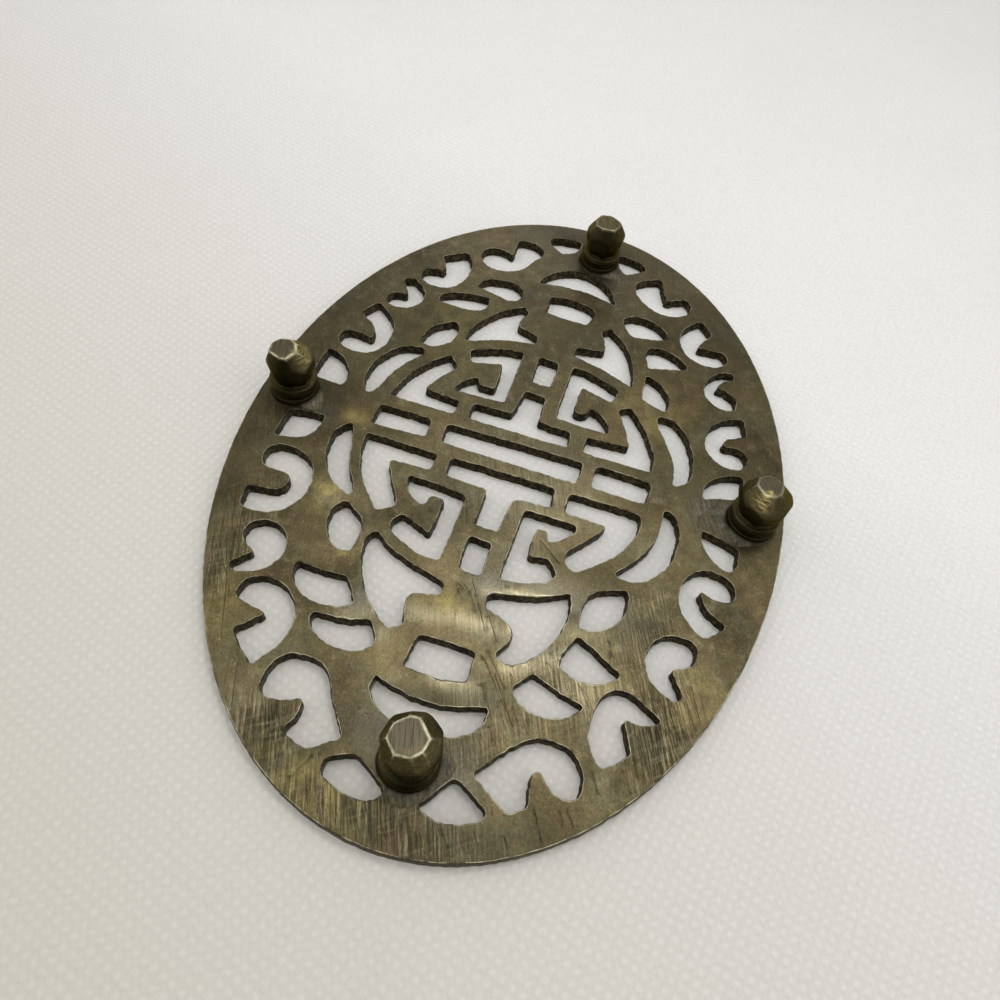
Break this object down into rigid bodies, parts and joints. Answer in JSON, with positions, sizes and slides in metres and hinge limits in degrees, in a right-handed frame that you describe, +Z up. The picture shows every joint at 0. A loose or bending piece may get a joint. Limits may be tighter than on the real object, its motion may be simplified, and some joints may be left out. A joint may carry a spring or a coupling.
{
  "type": "trivet",
  "caption": "Oval brass trivet: a flat plate pierced with a round long-life medallion, bats and border scrolls, standing on faceted feet soldered to its underside.",
  "frame": {"origin": "on the table, under the middle of the oval plate", "axes": "+X along the plate's length towards the front foot, +Y across it towards the left foot, +Z up from the table to the serving face"},
  "size_m": [0.15, 0.106, 0.0136],
  "materials": {
    "plate_brass": "aged sheet brass with a brown patina, worn golden at the edges",
    "foot_brass": "turned and filed brass with a dark patina, worn bright on the tips",
    "solder": "dull grey soft solder"
  },
  "bodies": {
    "root": {"plate": "plate_brass", "foot_front": "foot_brass", "foot_back": "foot_brass", "foot_left": "foot_brass", "foot_right": "foot_brass", "solder_front": "solder", "solder_back": "solder", "solder_left": "solder", "solder_right": "solder"}
  },
  "joints": []
}
